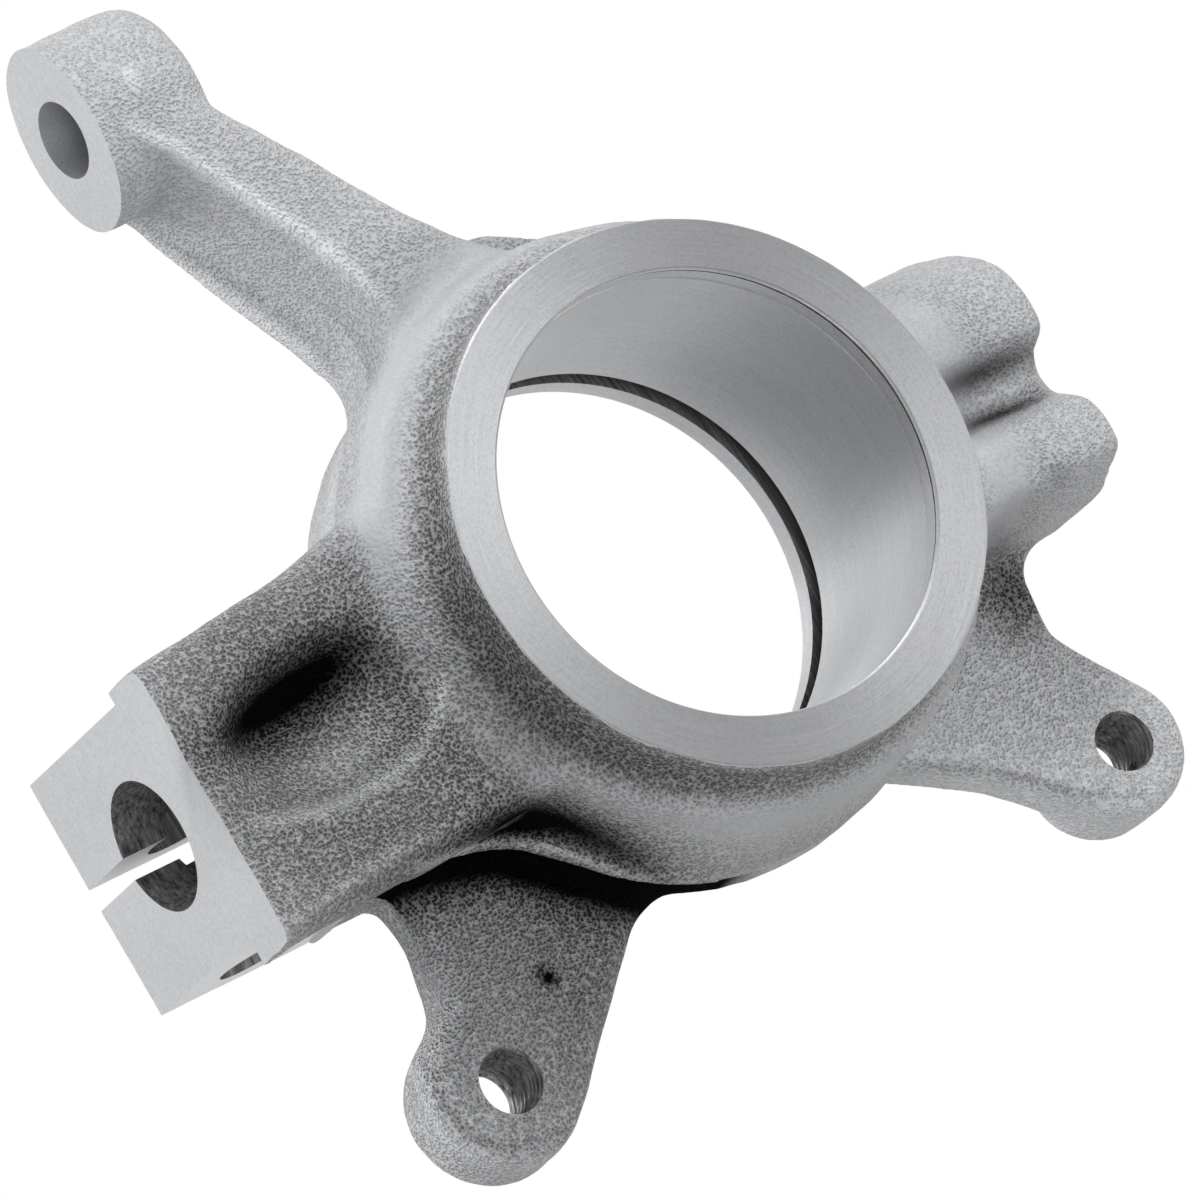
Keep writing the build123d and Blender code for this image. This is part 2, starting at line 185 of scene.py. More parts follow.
FOOT_Z = -98.5
FOOT_NEAR_Y = 6.7
FOOT_LEFT, FOOT_RIGHT = -16.0, 32.2
SPOT_SIDE = 20.2
SPOT_Y = 18.5
SPOT_TOP = -70.5
UPPER_TOP = 71.0
LOWER_BACK = 55.1
UPPER_BACK = 55.0

EYE = (-96.8, 30.0, -51.3)
EYE_HOLE = 6.3
EYE_HEIGHT = 21.9
EYE_LONG, EYE_SHORT = 15.6, 12.0


class Ear(NamedTuple):
    """Where an ear's hole stands, how wide its milled boss and its hole are, and where its far face is."""

    x: float
    z: float
    boss_radius: float
    hole_radius: float
    far_y: float


EARS = (Ear(62.0, -62.3, 13.0, 5.3, 49.0), Ear(57.2, 60.6, 11.5, 4.9, 51.0))
THREAD_PITCH = 1.5
THREAD_DEPTH = 0.5
STOCK = 1.5
print("bore", 2 * BORE_RADIUS, "mm, stock on machined faces", STOCK, "mm")

# %% [markdown]
# ## The blank
#
# A casting has no sharp edge anywhere.  Beveling every edge of the solid by hand would need a different width
# at each corner and would break where many faces meet.  Instead the solid is copied, its holes are plugged,
# stock is added, and a voxel remesh turns the lot into one even skin.  Smoothing that skin rounds every
# corner and fills every notch at once, as sand moulds do.

# %% Copy the solid and plug what will be machined
CORE = 0.5
BARREL_PLUG = 40.5
FAR_PLUG = 45.0
EYE_PLUG = 7.5
PINCH_PLUG_LEFT, PINCH_PLUG_RIGHT = -23.0, 18.0
EAR_PLUG_NEAR = 36.0


def baked(piece):
    """Replace a piece's mesh by what its modifiers make of it."""
    graph = bpy.context.evaluated_depsgraph_get()
    done = bpy.data.meshes.new_from_object(piece.evaluated_get(graph))
    piece.modifiers.clear()
    piece.data = done
    return piece


def merged_copy(solid, name):
    """A copy of a solid in millimetres, with the points of its loose triangles merged."""
    mesh = solid.data.copy()
    write_points(mesh, read_points(mesh) / MM)
    piece = bpy.data.objects.new(name, mesh)
    bpy.context.scene.collection.objects.link(piece)
    weld = piece.modifiers.new("weld", "WELD")
    weld.merge_threshold = 0.002
    return baked(piece)


def joined(pieces):
    """Join several meshes into the first one's object."""
    with bpy.context.temp_override(active_object=pieces[0], selected_editable_objects=pieces):
        bpy.ops.object.join()
    return pieces[0]


def hub_plug():
    """One turned plug that fills the bore and stands proud of the ring face and of the far face."""
    profile = [(CORE, -2 * STOCK), (RING_RADIUS, -2 * STOCK), (RING_RADIUS, RING_LENGTH),
               (BARREL_PLUG, RING_LENGTH + 2), (BARREL_PLUG, HUB_LENGTH), (FAR_PLUG, HUB_LENGTH),
               (FAR_PLUG, HUB_LENGTH + STOCK), (CORE, HUB_LENGTH + STOCK)]
    return spun("plug", profile, (0, 0, 0))


def lower_clamp_plugs():
    """Fillings of the lower pin hole and its slot, and stock on the foot and on the two milled sides."""
    x, y, radius = LOWER_PIN
    return [
        spun("plug", [(radius + 1, FOOT_Z - STOCK), (radius + 1, LOWER_BORE_TOP + 1)], (x, y, 0), "z", 48),
        block("plug", (x - 4, y, FOOT_Z - STOCK), (x + 4, LOWER_BACK, LOWER_BORE_TOP + 4)),
        block("plug", (FOOT_LEFT, FOOT_NEAR_Y, FOOT_Z - STOCK), (FOOT_RIGHT, LOWER_BACK, FOOT_Z + 2)),
        block("plug", (x - SPOT_SIDE - STOCK, SPOT_Y - 1, FOOT_Z - STOCK),
              (x + SPOT_SIDE + STOCK, LOWER_BACK, SPOT_TOP)),
    ]


def upper_clamp_plugs():
    """Fillings of the upper pin hole, its slot and its pinch hole."""
    x, y, radius = UPPER_PIN
    pinch_y, pinch_z, pinch_radius = PINCH_HIGH
    return [
        spun("plug", [(radius + 1, UPPER_BORE_FOOT - 1), (radius + 1, UPPER_TOP)], (x, y, 0), "z", 48),
        block("plug", (x - 4, y, UPPER_TOP - UPPER_SLOT_LENGTH - 1), (x + 4, UPPER_BACK, UPPER_TOP)),
        spun("plug", [(pinch_radius + 1, PINCH_PLUG_LEFT), (pinch_radius + 1, PINCH_PLUG_RIGHT)],
             (0, pinch_y, pinch_z), "x", 32),
    ]


def eye_plugs():
    """Filling of the eye's hole, and stock on its oval face."""
    x, y, z = EYE
    return [
        spun("plug", [(EYE_PLUG, z - STOCK), (EYE_PLUG, z + EYE_HEIGHT)], (x, y, 0), "z", 32),
        spun("plug", [(EYE_LONG, z - 2 * STOCK), (EYE_LONG, z + 2)], (x, y, 0), "z", 64,
             squeeze=EYE_SHORT / EYE_LONG),
    ]


def ear_plugs(ear):
    """Filling of an ear's hole, and stock on its far boss."""
    hole = ear.hole_radius + 1
    boss = ear.boss_radius - 0.5
    place = (ear.x, 0, ear.z)
    return [
        spun("plug", [(hole, EAR_PLUG_NEAR), (hole, ear.far_y)], place, "y", 32),
        spun("plug", [(boss, ear.far_y - 5), (boss, ear.far_y + STOCK)], place, "y", 48),
    ]


blank = merged_copy(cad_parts["steering_knuckle"], "knuckle_casting")
plugs = [hub_plug()] + lower_clamp_plugs() + upper_clamp_plugs() + eye_plugs()
for ear in EARS:
    plugs += ear_plugs(ear)
blank = joined([blank] + plugs)
print("blank before remeshing:", len(blank.data.polygons), "faces")

# %% Remesh and smooth the blank
BLANK_VOXEL = 1.1
ARM_STARTS = -25
ARM_BLEND = 10


def even_skin(piece, size):
    """One closed skin of even squares round everything in the piece."""
    remesh = piece.modifiers.new("skin", "REMESH")
    remesh.mode = "VOXEL"
    remesh.voxel_size = size
    return baked(piece)


def edge_pairs(mesh):
    """The two point numbers of each edge, as an array."""
    ends = np.empty(len(mesh.edges) * 2, int)
    mesh.edges.foreach_get("vertices", ends)
    return ends.reshape(-1, 2)


def smoothed(points, ends, rounds, pull, push):
    """Move each point towards the mean of its neighbours by pull, then back out by push, round after round.

    The push keeps thin walls from shrinking while small bumps and sharp corners are rubbed away."""
    count = len(points)
    both = np.concatenate([ends, ends[:, ::-1]])
    share = np.bincount(both[:, 0], minlength=count)[:, None]
    for _ in range(rounds):
        for amount in (pull, -push):
            sums = [np.bincount(both[:, 0], points[both[:, 1], k], count) for k in range(3)]
            points = points + amount * (np.stack(sums, axis=1) / share - points)
    return points


blank = even_skin(blank, BLANK_VOXEL)
ends = edge_pairs(blank.data)
crisp_skin = smoothed(read_points(blank.data), ends, rounds=3, pull=0.62, push=0.30)
soft_skin = smoothed(crisp_skin, ends, rounds=5, pull=0.62, push=0.30)
on_arm = np.clip((ARM_STARTS - crisp_skin[:, :1]) / ARM_BLEND, 0, 1)
skin = on_arm * crisp_skin + (1 - on_arm) * soft_skin
write_points(blank.data, skin)
print("blank skin:", len(blank.data.polygons), "faces, box", skin.min(0).round(1), skin.max(0).round(1))

# %% [markdown]
# ## Small cast details
#
# Some details are finer than the roundings: the steep dark side of the pocket, the thin flash where the two
# halves of the mould met, which shows as a bright line over the low ear, and a pip on the eye.  Made with the
# rest they would be smoothed away, so they are laid on the smoothed blank, and lighter remeshes melt them in.
# The hollow under the flash is cut in the same way as the machining, so the finishes of the skin and of the
# cuts are named here and filled in further on.

# %% Name the finishes, and the cut that leaves one behind
cast_skin = bpy.data.materials.new("cast_skin")
turned_metal = bpy.data.materials.new("turned_metal")
milled_metal = bpy.data.materials.new("milled_metal")
# The drilled finish is painted dark, as shade inside holes, the groove and the score
drilled_metal_in_shade = bpy.data.materials.new("drilled_metal_in_shade")
FINISHES = (cast_skin, turned_metal, milled_metal, drilled_metal_in_shade)
blank.data.materials.clear()
for finish in FINISHES:
    blank.data.materials.append(finish)
    finish.use_nodes = True


def cut(piece, tool, finish):
    """Take the tool away from the piece; the cut faces get the tool's finish."""
    tool.data.materials.append(finish)
    take = piece.modifiers.new("cut", "BOOLEAN")
    take.operation = "DIFFERENCE"
    take.solver = "MANIFOLD"
    take.object = tool
    baked(piece)
    bpy.data.objects.remove(tool)


print("finishes:", [finish.name for finish in FINISHES])

# %% Sink the steep side of the pocket
TROUGH_X, TROUGH_Z = -1.6, -74.5
TROUGH_TILT = 0.2
TROUGH_DEPTH = 4.6
TROUGH_STEEP, TROUGH_GENTLE, TROUGH_LENGTH = 3.4, 6.0, 13.0
CLAMP_FACE_FAR_Y = 26


def pocket_trough(points):
    """How far each point sinks along Y: a trough with a steep -X side, exp(-(side / width)^2) across and
    exp(-(way / length)^4) along, on the near side only."""
    x, y, z = points.T
    side = x - (TROUGH_X - TROUGH_TILT * (z - TROUGH_Z))
    across = np.where(side < 0, np.exp(-(side / TROUGH_STEEP) ** 2), np.exp(-(side / TROUGH_GENTLE) ** 2))
    along = np.exp(-((z - TROUGH_Z) / TROUGH_LENGTH) ** 4)
    return TROUGH_DEPTH * across * along * (y < CLAMP_FACE_FAR_Y)


sunk = pocket_trough(skin)
skin[:, 1] += sunk
write_points(blank.data, skin)
print("the pocket's steep side sinks by up to", sunk.max().round(2), "mm")


# %% Lay the flash and the pip on, and melt them in
def rod(name, path, radii, sides=16):
    """A round rod along a path: at each path point a circle of that radius, square to the path."""
    path = np.array(path, float)
    radii = np.array(radii, float)
    along = np.gradient(path, axis=0)
    along /= np.linalg.norm(along, axis=1)[:, None]
    first = np.cross(along, (0.0, 1.0, 0.0))
    first /= np.linalg.norm(first, axis=1)[:, None]
    second = np.cross(along, first)
    angle = np.linspace(0, 2 * math.pi, sides, endpoint=False)
    circle = np.cos(angle)[None, :, None] * first[:, None] + np.sin(angle)[None, :, None] * second[:, None]
    points = path[:, None] + radii[:, None, None] * circle
    faces = grid_faces(len(path), sides) + end_caps(len(path), sides)
    return outward(mesh_object(name, points.reshape(-1, 3), faces))


def smooth_path(knots, count):
    """Points along a smooth line through the knots: a Catmull-Rom blend, worked out for all at once."""
    knots = np.array(knots, float)
    padded = np.vstack([2 * knots[0] - knots[1], knots, 2 * knots[-1] - knots[-2]])
    place = np.linspace(0, len(knots) - 1 - 1e-9, count)
    i = place.astype(int)
    t = (place - i)[:, None]
    p0, p1, p2, p3 = (padded[i + k] for k in range(4))
    return 0.5 * (2 * p1 + (p2 - p0) * t + (2 * p0 - 5 * p1 + 4 * p2 - p3) * t ** 2
                  + (3 * p1 - p0 - 3 * p2 + p3) * t ** 3)


FLASH_KNOTS = [(27.0, 27.5, -70.0), (26.6, 28.0, -62.0), (29.6, 28.5, -47.5), (33.6, 28.5, -41.2),
               (39.8, 28.5, -34.0), (45.5, 28.5, -26.5), (49.5, 29.0, -17.0)]
FLASH_POINTS = 60
FLASH_OUT = np.array([0.62, 0.0, -0.78])
FLASH_RADIUS = 1.3
BACKING_RADIUS, BACKING_DROP = 3.0, 2.6
PIP_RADIUS, PIP_Y, PIP_ABOVE_FACE = 3.6, 21.6, 11
DETAIL_VOXEL = 0.95

flash_path = smooth_path(FLASH_KNOTS, FLASH_POINTS)
flash_fade = np.sin(np.linspace(0.25, math.pi - 0.25, FLASH_POINTS)) ** 0.5
flash = rod("flash", flash_path, FLASH_RADIUS * flash_fade)
backing = rod("backing", flash_path - BACKING_DROP * FLASH_OUT, BACKING_RADIUS * flash_fade)
half_turn = np.linspace(0.05, math.pi - 0.05, 12)
pip_profile = PIP_RADIUS * np.column_stack([np.sin(half_turn), -np.cos(half_turn)])
pip = spun("pip", pip_profile, (EYE[0], PIP_Y, EYE[2] + PIP_ABOVE_FACE), sides=24)
blank = even_skin(joined([blank, flash, backing, pip]), DETAIL_VOXEL)
print("blank with flash and pip:", len(blank.data.polygons), "faces")

# %% Gouge the hollow under the flash
GOUGE_RADIUS = 3.2
GOUGE_OUT = 1.6
GOUGE_BEHIND = (0, 4.4, 0)
GOUGE_PART = slice(6, -4)
SKIN_VOXEL = 0.9

gouge_path = flash_path[GOUGE_PART] + GOUGE_OUT * FLASH_OUT + GOUGE_BEHIND
cut(blank, rod("gouge", gouge_path, GOUGE_RADIUS * flash_fade[GOUGE_PART]), cast_skin)
blank = even_skin(blank, SKIN_VOXEL)
skin = smoothed(read_points(blank.data), edge_pairs(blank.data), rounds=2, pull=0.55, push=0.25)
write_points(blank.data, skin)
print("blank with details:", len(blank.data.polygons), "faces")

# %% [markdown]
# ## Strokes
#
# The near side carries many small ridges, creases and hollows: the raised rim of the pocket, the ridge along
# the arm, the steps between the lobes.  A solid for each would be a long job for little, so they are drawn,
# like pencil strokes on a board that faces the viewer.  A stroke is a smooth line on that board, with u to
# the right and v downwards, in millimetres from the wheel axis.  It lifts or sinks the skin near it, and
# further on the same stroke paints highlights into the colour of rims and crests, and shade into creases,
# hollows and shadowed sides.

# %% The board and its strokes
RIGHT = np.array([0.496, -0.373, 0.784])
UP = np.array([-0.859, -0.340, 0.382])
TOWARD = np.array([0.124, -0.863, -0.489])
BOARD = np.array([RIGHT, -UP])
LINE_POINTS = 40


class Stroke(NamedTuple):
    """A line on the board, its half width, the Y it works between, and its height, painted highlight and
    painted shade.
    """

    line: list
    width: float
    between: tuple
    height: float = 0.0
    painted_highlight: float = 0.0
    shade: float = 0.0


# Highlight amounts paint light into the colour: the pocket's rim and floor, the lip, the arm's ridge and
# edge, the eye's swirl, the clamp's crest, the step between the lobes and the ear's rim.  Shade amounts paint
# shade: the pocket's dark side, the hollow above the lip, the lobes' shadow and valley, creases, hollows, a
# small pit, and the shadow cast beside the high ear.
STROKES = {
    "pocket rim": Stroke(
        [(-69.1, 50.2), (-61.9, 48.7), (-52.8, 45.0), (-45.9, 39.6), (-42.0, 32.9), (-41.6, 29.0)],
        width=1.4, between=(0, 26), height=1.2, painted_highlight=1.0),
    "pocket floor": Stroke(
        [(-62.0, 42.5), (-55.0, 39.5), (-49.5, 33.5)],
        width=3.6, between=(0, 26), height=-0.8, painted_highlight=0.5),
    "pocket dark side": Stroke(
        [(-76.0, 38.8), (-66.0, 31.6), (-56.0, 24.3)],
        width=4.9, between=(0, 26), height=-2.4, shade=1.15),
    "pocket dark edge": Stroke(
        [(-72.0, 30.0), (-65.0, 24.0), (-56.0, 20.5)],
        width=3.5, between=(0, 26), height=0.3, shade=0.22),
    "lip": Stroke(
        [(-45.2, 57.1), (-39.9, 55.0), (-33.1, 53.2), (-25.8, 53.8), (-17.9, 56.8), (-10.0, 59.6)],
        width=0.9, between=(10, 34), height=1.0, painted_highlight=1.2, shade=-0.6),
    "above lip": Stroke(
        [(-42.4, 56.0), (-37.0, 52.6), (-31.0, 50.3), (-25.2, 49.9), (-17.9, 52.8), (-10.6, 57.2)],
        width=3.6, between=(5, 34), height=-1.5, shade=0.80),
    "arm ridge": Stroke(
        [(-88.5, -55.1), (-78.5, -49.2), (-69.6, -43.5), (-58.7, -35.9), (-49.5, -27.5)],
        width=1.3, between=(0, 45), height=0.9, painted_highlight=1.0),
    "arm edge": Stroke(
        [(-88.8, -38.6), (-80.8, -33.4), (-71.6, -27.2), (-62.6, -20.6), (-59.0, -15.6)],
        width=1.2, between=(0, 45), painted_highlight=0.8),
    "eye swirl": Stroke(
        [(-90.2, -63.8), (-89.1, -62.9), (-88.5, -61.0)],
        width=1.2, between=(0, 45), height=0.8, painted_highlight=0.6),
    "clamp crest": Stroke(
        [(-63.4, 64.3), (-50.8, 56.2), (-37.6, 49.8), (-24.0, 43.0)],
        width=1.2, between=(0, 34), height=0.6, painted_highlight=0.5),
    "shadow patch": Stroke(
        [(42.7, 8.2), (45.0, 14.3), (48.0, 20.3)],
        width=4.6, between=(10, 60), shade=0.6),
    "ear edge": Stroke(
        [(28.0, 41.5), (36.6, 42.3), (45.7, 43.5), (54.8, 46.1), (65.0, 46.5)],
        width=1.0, between=(20, 60), height=-0.5, shade=0.5),
    "lobe shadow": Stroke(
        [(35.3, -16.0), (42.7, -19.1), (49.5, -22.1)],
        width=2.2, between=(5, 60), height=-0.7, shade=0.65),
    "lobe step": Stroke(
        [(37.4, -13.0), (43.4, -15.3), (49.5, -18.0)],
        width=1.2, between=(5, 60), height=0.8, painted_highlight=0.7),
    "lobe valley": Stroke(
        [(38.6, -10.1), (44.2, -12.3), (49.8, -14.4)],
        width=0.9, between=(5, 60), height=-0.6, shade=0.7),
    "lobe spot": Stroke(
        [(51.6, -4.2), (52.2, -3.2), (52.6, -2.2)],
        width=1.9, between=(5, 60), shade=0.4),
    "arm crease": Stroke(
        [(-87.6, -40.6), (-79.8, -35.6), (-70.8, -29.8), (-61.6, -23.0)],
        width=0.7, between=(0, 45), height=-0.4, shade=0.35),
    "inclusion": Stroke(
        [(-26.9, 72.8), (-25.9, 73.6), (-24.9, 74.5)],
        width=1.2, between=(20, 45), height=-0.5, painted_highlight=-0.6, shade=1.3),
    "ear hollow": Stroke(
        [(-44.6, 85.6), (-41.1, 92.6), (-36.9, 97.4), (-30.8, 99.4), (-24.6, 97.4)],
        width=1.0, between=(20, 60), height=-0.6, shade=0.45),
    "ear rim": Stroke(
        [(-46.9, 86.0), (-43.4, 93.8), (-38.4, 99.7), (-30.8, 102.0), (-23.2, 99.6)],
        width=1.0, between=(20, 60), height=0.5, painted_highlight=0.35),
}
print(len(STROKES), "strokes:", ", ".join(STROKES))


# %% Draw the strokes into the skin
def way_from_line(points, line):
    """How far each point lies from a smooth line on the board, and the number of the nearest point on it."""
    apart = np.linalg.norm((points @ BOARD.T)[:, None] - smooth_path(line, LINE_POINTS)[None], axis=2)
    return apart.min(axis=1), apart.argmin(axis=1)


def stroke_share(points, normals, stroke):
    """exp(-(distance / width)^2) from the stroke's line, fading at its ends and on faces turned away."""
    distance, nearest = way_from_line(points, stroke.line)
    fade = np.sin(np.linspace(0.15, math.pi - 0.15, LINE_POINTS))[nearest] ** 0.4
    facing = np.clip(8 * normals @ TOWARD, 0, 1)
    near_y, far_y = stroke.between
    inside = (points[:, 1] > near_y) & (points[:, 1] < far_y)
    return fade * facing * inside * np.exp(-(distance / stroke.width) ** 2)


normals = point_normals(blank.data)
relief = np.zeros(len(skin))
for stroke in STROKES.values():
    relief += stroke.height * stroke_share(skin, normals, stroke)
skin = skin + relief[:, None] * TOWARD
print("strokes raise the skin by", relief.min().round(2), "to", relief.max().round(2), "mm")

# %% Pull out the flange along the arm's lower edge
FLANGE_LINE = [(-89.0, -38.4), (-81.0, -34.6), (-72.0, -29.0), (-63.5, -22.8), (-59.0, -16.5)]
FLANGE_REACH = 2.0
FLANGE_WIDTH = 2.4
FLANGE_FAR_Y = 45


def flange_pull(points):
    """How far each point moves down the board: reach * exp(-(distance / width)^2), fading at the ends."""
    distance, nearest = way_from_line(points, FLANGE_LINE)
    fade = np.sin(np.linspace(0.0, math.pi, LINE_POINTS))[nearest]
    return FLANGE_REACH * fade * np.exp(-(distance / FLANGE_WIDTH) ** 2) * (points[:, 1] < FLANGE_FAR_Y)


pull = flange_pull(skin)
skin = skin - pull[:, None] * UP
write_points(blank.data, skin)
print("the flange stands out by up to", pull.max().round(2), "mm")

# %% [markdown]
# ## Lumps in the skin
#
# Sand leaves broad, low lumps that catch the light, below which lies the fine grain.  The lumps are real
# geometry; the grain is too fine for it and comes later as bump.  The lump height is value noise: random
# numbers on a lattice, blended smoothly between the eight lattice corners round each point.

# %% Move the skin by smooth noise
LATTICE = 64


def lattice_noise(points, cell, seed):
    """Smooth noise from -1 to 1: random lattice values mixed with weights 3t^2 - 2t^3 along each axis."""
    values = np.random.default_rng(seed).uniform(-1, 1, (LATTICE, LATTICE, LATTICE))
    place = points / cell
    base = np.floor(place).astype(int)
    t = place - base
    weight = t * t * (3 - 2 * t)
    total = np.zeros(len(points))
    for corner in range(8):
        step = np.array([(corner >> k) & 1 for k in range(3)])
        share = np.where(step, weight, 1 - weight).prod(axis=1)
        i, j, k = ((base + step) % LATTICE).T
        total += share * values[i, j, k]
    return total


lumps = 0.16 * lattice_noise(skin, 7.0, seed=3) + 0.09 * lattice_noise(skin, 3.1, seed=8)
write_points(blank.data, skin + lumps[:, None] * point_normals(blank.data))
print("lumps from", lumps.min().round(2), "to", lumps.max().round(2), "mm")

# %% [markdown]
# ## Machining
#
# Each tool is one closed shape that is taken away from the casting.  The faces that a tool leaves keep the
# tool's own material, which is how bright metal ends up exactly where the cut is and nowhere else.  A tool
# reaches past the metal it cuts, because one that ends flush with a face leaves a thin skin behind.

# %% The lathe's tools, for the hub
FACING_RADIUS = 70
FAR_FACING_RADIUS = 46
FACING_STARTS, FACING_ENDS = -9, 65
BORING_STARTS, BORING_ENDS = -3, 62
LEAD_IN, LEAD_IN_DEPTH = 3.4, 0.4
RING_CHAMFER = 0.4
SCORE_RADIUS, SCORE_NEAR, SCORE_FAR = 36.7, 0.6, 1.3
STEP_RADIUS, STEP_FAR = 36.15, 4.4
ON_AXIS = (0, 0, 0)


def widened(near_y, far_y, radius):
    """A ring that widens the bore to a radius between two heights."""
    profile = [(BORE_RADIUS - 1, near_y), (radius, near_y), (radius, far_y), (BORE_RADIUS - 1, far_y)]
    return spun("tool", profile, ON_AXIS, sides=192, ring=True)


def hub_tools():
    """Both facing cuts, the ring's chamfer, the bore with its lead-in, the score, the step and the groove."""
    near_face = [(CORE, FACING_STARTS), (FACING_RADIUS, FACING_STARTS), (FACING_RADIUS, 0), (CORE, 0)]
    yield spun("tool", near_face, ON_AXIS, sides=192), turned_metal
    chamfer = [(RING_RADIUS - RING_CHAMFER, -0.1), (FACING_RADIUS, -0.1), (FACING_RADIUS, 0.5),
               (RING_RADIUS + 2, 2.3)]
    yield spun("tool", chamfer, ON_AXIS, sides=192, ring=True), turned_metal
    far_face = [(CORE, HUB_LENGTH), (FAR_FACING_RADIUS, HUB_LENGTH), (FAR_FACING_RADIUS, FACING_ENDS),
                (CORE, FACING_ENDS)]
    yield spun("tool", far_face, ON_AXIS, sides=192), turned_metal
    bore = [(CORE, BORING_STARTS), (BORE_RADIUS + LEAD_IN, BORING_STARTS), (BORE_RADIUS, LEAD_IN_DEPTH),
            (BORE_RADIUS, BORING_ENDS), (CORE, BORING_ENDS)]
    yield spun("tool", bore, ON_AXIS, sides=192), turned_metal
    # The score and the groove take the drilled finish, whose dark grey is painted shade
    yield widened(SCORE_NEAR, SCORE_FAR, SCORE_RADIUS), drilled_metal_in_shade
    yield widened(SCORE_FAR, STEP_FAR, STEP_RADIUS), turned_metal
    yield widened(GROOVE_NEAR, GROOVE_FAR, GROOVE_RADIUS), drilled_metal_in_shade


print("bore", 2 * BORE_RADIUS, "mm, groove", 2 * GROOVE_RADIUS, "mm")


# %% The drill and the mill, for the clamps
PAST_BACK = 80
PAST_FOOT = 20


def drill(radius, low, high, place, axis, sides):
    """A straight drill: a cylinder of that radius between two heights on its axis."""
    return spun("tool", [(radius, low), (radius, high)], place, axis, sides)


def lower_clamp_tools():
    """Foot, two milled sides, pin hole, slot and pinch hole of the lower clamp."""
    x, y, radius = LOWER_PIN
    yield block("tool", (-60, -20, FOOT_Z - PAST_FOOT), (60, PAST_BACK, FOOT_Z)), milled_metal
    for side in (-1, 1):
        near_x, far_x = sorted((x + side * SPOT_SIDE, x + side * (SPOT_SIDE + 20)))
        yield block("tool", (near_x, SPOT_Y, FOOT_Z - PAST_FOOT), (far_x, PAST_BACK, SPOT_TOP)), milled_metal
    yield drill(radius, FOOT_Z - 5, LOWER_BORE_TOP, (x, y, 0), "z", 96), drilled_metal_in_shade
    half = SLOT_WIDTH / 2
    yield block("tool", (x - half, y, FOOT_Z - 5), (x + half, PAST_BACK, LOWER_BORE_TOP + 3)), milled_metal
    pinch_y, pinch_z, pinch_radius = PINCH_LOW
    yield drill(pinch_radius, -60, 60, (0, pinch_y, pinch_z), "x", 64), drilled_metal_in_shade


def upper_clamp_tools():
    """Pin hole, slot and pinch hole of the upper clamp."""
    x, y, radius = UPPER_PIN
    yield drill(radius, UPPER_BORE_FOOT, UPPER_TOP + 5, (x, y, 0), "z", 96), drilled_metal_in_shade
    half = SLOT_WIDTH / 2
    slot_foot = UPPER_TOP - UPPER_SLOT_LENGTH
    yield block("tool", (x - half, y, slot_foot), (x + half, PAST_BACK, UPPER_TOP + 5)), milled_metal
    pinch_y, pinch_z, pinch_radius = PINCH_HIGH
    yield drill(pinch_radius, -45, 15.5, (0, pinch_y, pinch_z), "x", 64), drilled_metal_in_shade


print("pin holes", 2 * LOWER_PIN[2], "and", 2 * UPPER_PIN[2], "mm, slots", SLOT_WIDTH, "mm")


# %% The mill and the tap, for the eye and the ears
PAST_EARS = 60
TAP_STARTS = 25


def tapped(name, radius, depth, pitch, centre, low, high, sides=64):
    """A tap: its radius is R + depth * |2 * frac(height / pitch - angle / 360) - 1|.

    The term with the angle makes the ridges climb as they go round, like a screw's."""
    height = np.arange(low, high, pitch / 6)[:, None]
    angle = np.linspace(0, 2 * math.pi, sides, endpoint=False)
    thread = np.abs(2 * ((height / pitch - angle / (2 * math.pi)) % 1) - 1)
    reach = (radius + depth * thread)[:, :, None]
    across, along, up = AXES["y"]
    circle = np.cos(angle)[:, None] * across + np.sin(angle)[:, None] * along
    points = (reach * circle + height[:, :, None] * up + np.asarray(centre, float)).reshape(-1, 3)
    faces = grid_faces(len(height), sides) + end_caps(len(height), sides)
    return outward(mesh_object(name, points, faces))


def eye_tools():
    """The eye's milled face and its tapered hole, which narrows upwards."""
    x, y, z = EYE
    yield block("tool", (x - 25, y - 25, z - 20), (x + 25, y + 25, z)), milled_metal
    taper = [(EYE_HOLE + 0.3, z - 5), (EYE_HOLE - 1.5, z + 30)]
    yield spun("tool", taper, (x, y, 0), "z", 64), turned_metal


def ear_tools():
    """The milled far boss and the tapped hole of each ear."""
    for ear in EARS:
        place = (ear.x, 0, ear.z)
        reach = ear.boss_radius + 4
        boss = [(CORE, ear.far_y), (reach, ear.far_y), (reach, PAST_EARS), (CORE, PAST_EARS)]
        yield spun("tool", boss, place, "y", 64), milled_metal
        thread = tapped("tool", ear.hole_radius - THREAD_DEPTH / 2, THREAD_DEPTH, THREAD_PITCH, place,
                        TAP_STARTS, PAST_EARS)
        yield thread, drilled_metal_in_shade


print("thread", THREAD_PITCH, "mm in", len(EARS), "ears")

# %% Cut with every tool in turn
for tools in (hub_tools, lower_clamp_tools, upper_clamp_tools, eye_tools, ear_tools):
    for tool, finish in tools():
        cut(blank, tool, finish)
print("machined casting:", len(blank.data.polygons), "faces")

# %% Edges, size and place
SHARP_FROM = 32


def crisp_by_angle(mesh, degrees):
    """Smooth shading everywhere except over edges that turn by more than the angle."""
    mesh.polygons.foreach_set("use_smooth", np.ones(len(mesh.polygons), bool))
    mesh.set_sharp_from_angle(angle=math.radians(degrees))


casting = blank
crisp_by_angle(casting.data, SHARP_FROM)
write_points(casting.data, read_points(casting.data) * MM)
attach(casting, "root")
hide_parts("steering_knuckle")
print("casting takes the place of the solid")

